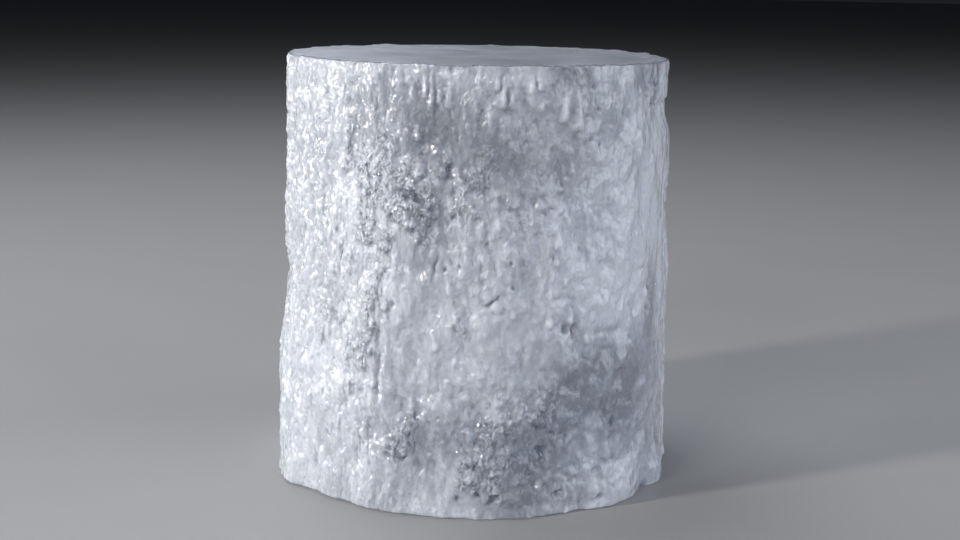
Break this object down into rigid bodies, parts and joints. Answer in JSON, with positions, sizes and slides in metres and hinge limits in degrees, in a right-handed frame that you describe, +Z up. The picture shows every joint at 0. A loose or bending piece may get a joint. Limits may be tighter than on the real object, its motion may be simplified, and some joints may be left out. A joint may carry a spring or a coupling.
{
  "type": "ice block",
  "caption": "Short standing cylinder of cloudy, partly see-through ice with a flat sawn top, a wall runnelled and crusted by melting, and a flat foot to rest on.",
  "frame": {"origin": "middle of the flat foot, on the surface that the block stands on", "axes": "+Z up along the block's own axis from the foot to the sawn top, -Y the front, +X to the right seen from the front"},
  "size_m": [0.1008, 0.1015, 0.1047],
  "materials": {
    "ice": "cloudy wet ice, glossy and granular"
  },
  "bodies": {
    "root": {"ice_block": "ice"}
  },
  "joints": []
}
